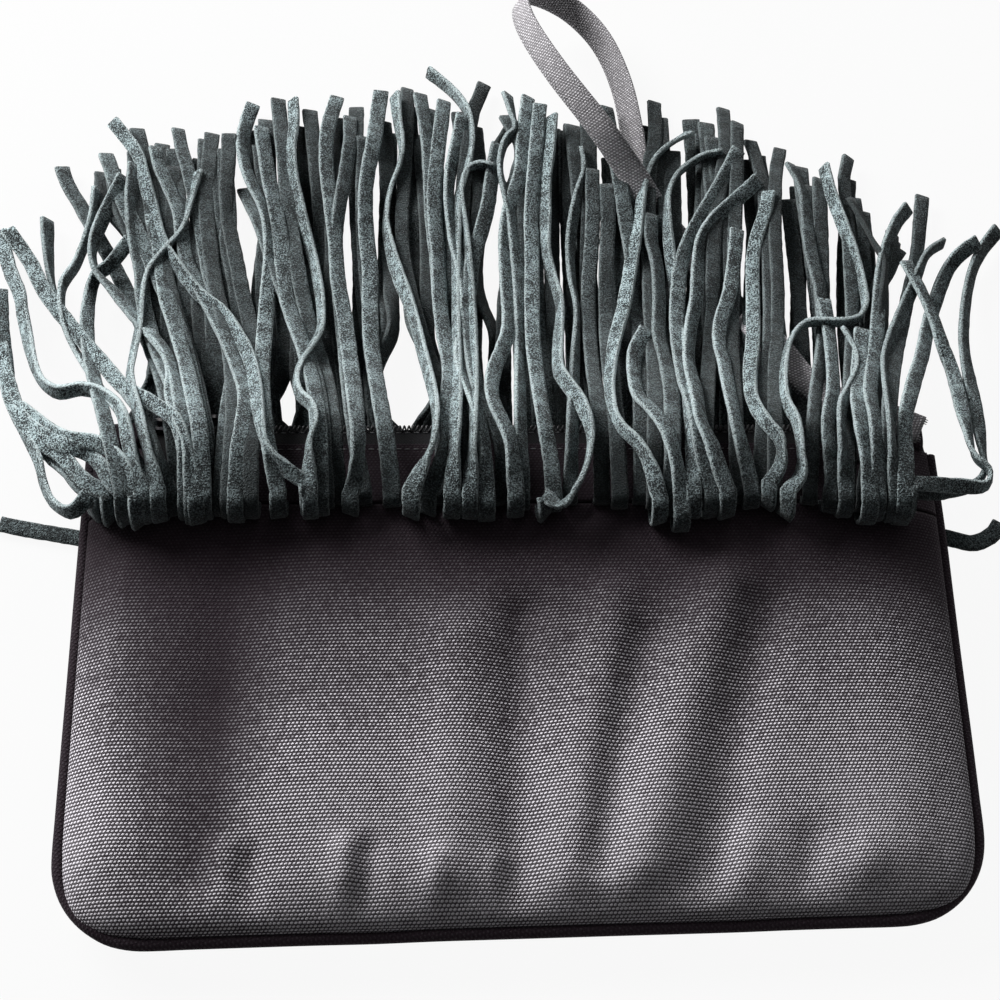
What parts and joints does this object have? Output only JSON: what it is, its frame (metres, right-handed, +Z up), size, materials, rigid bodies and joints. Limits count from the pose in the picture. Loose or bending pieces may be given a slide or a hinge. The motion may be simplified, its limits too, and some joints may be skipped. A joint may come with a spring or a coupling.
{
  "type": "fringed zip clutch",
  "caption": "Soft canvas clutch with a top zip, piped edges, a wrist strap and long suede fringe sewn below the zip on both sides, lying on its back with the fringe thrown up.",
  "frame": {"origin": "middle of the flat of the back panel, on the surface the bag lies on", "axes": "+X across the bag to its right end, +Y from the bottom seam to the zip, +Z up out of the front panel"},
  "size_m": [0.3458, 0.3606, 0.0322],
  "materials": {
    "canvas": "charcoal plain-weave canvas, matt",
    "piping": "canvas cut on the bias over a cord",
    "zip_tape": "woven polyester tape",
    "zip_coil": "nylon coil",
    "zip_metal": "dull grey die-cast metal",
    "webbing": "woven cotton band, stitched along its edges",
    "suede": "grey-green suede, napped",
    "suede_back": "the same suede, darker"
  },
  "bodies": {
    "bag": {"front_panel": "canvas", "front_yoke": "canvas", "back_panel": "canvas", "back_yoke": "canvas", "piping": "piping", "zip_tape_front": "zip_tape", "zip_tape_back": "zip_tape", "zip_coil_front": "zip_coil", "zip_coil_back": "zip_coil", "zip_top_stop_front": "zip_metal", "zip_top_stop_back": "zip_metal", "zip_bottom_stop": "zip_metal", "zip_end_tab_left": "canvas", "zip_end_tab_right": "canvas", "wrist_strap": "webbing", "front_fringe": "suede", "back_fringe": "suede_back"},
    "slider": {"zip_slider": "zip_metal"},
    "pull": {"zip_pull": "zip_metal"}
  },
  "joints": [
    {"name": "zip_run", "type": "slide", "parent": "bag", "child": "slider", "axis": [1, 0, 0], "range_m": [0, 0.226]},
    {"name": "pull_swing", "type": "hinge", "parent": "slider", "child": "pull", "pos_m": [-0.113, 0.0888, 0.01151], "axis": [0, 0, 1], "range_deg": [0, 170]}
  ]
}
